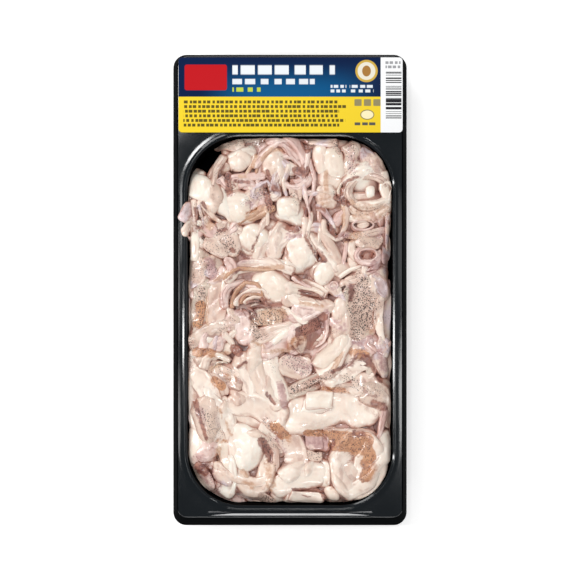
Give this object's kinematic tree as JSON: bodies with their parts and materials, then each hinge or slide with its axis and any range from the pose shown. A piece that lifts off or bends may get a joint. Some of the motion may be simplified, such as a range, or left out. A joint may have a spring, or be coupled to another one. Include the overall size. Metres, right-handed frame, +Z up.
{
  "type": "tray of raw squid rings and tentacles",
  "caption": "Raw squid rings, mantle cuts, fins and tentacles heaped in a shallow black tray with a round-cornered well and a label on its header.",
  "frame": {"origin": "middle of the footprint, at the height of the tray's base", "axes": "+Z up, +Y along the tray towards its labelled header, +X to the right of the label"},
  "size_m": [0.124, 0.25, 0.028],
  "materials": {
    "tray": "glossy black thermoformed plastic",
    "label": "printed, slightly glossy, blue and yellow fields",
    "squid": "wet, translucent cream flesh with freckled skin"
  },
  "bodies": {
    "root": {"tray": "tray", "label": "label", "squid_heap": "squid"}
  },
  "joints": []
}
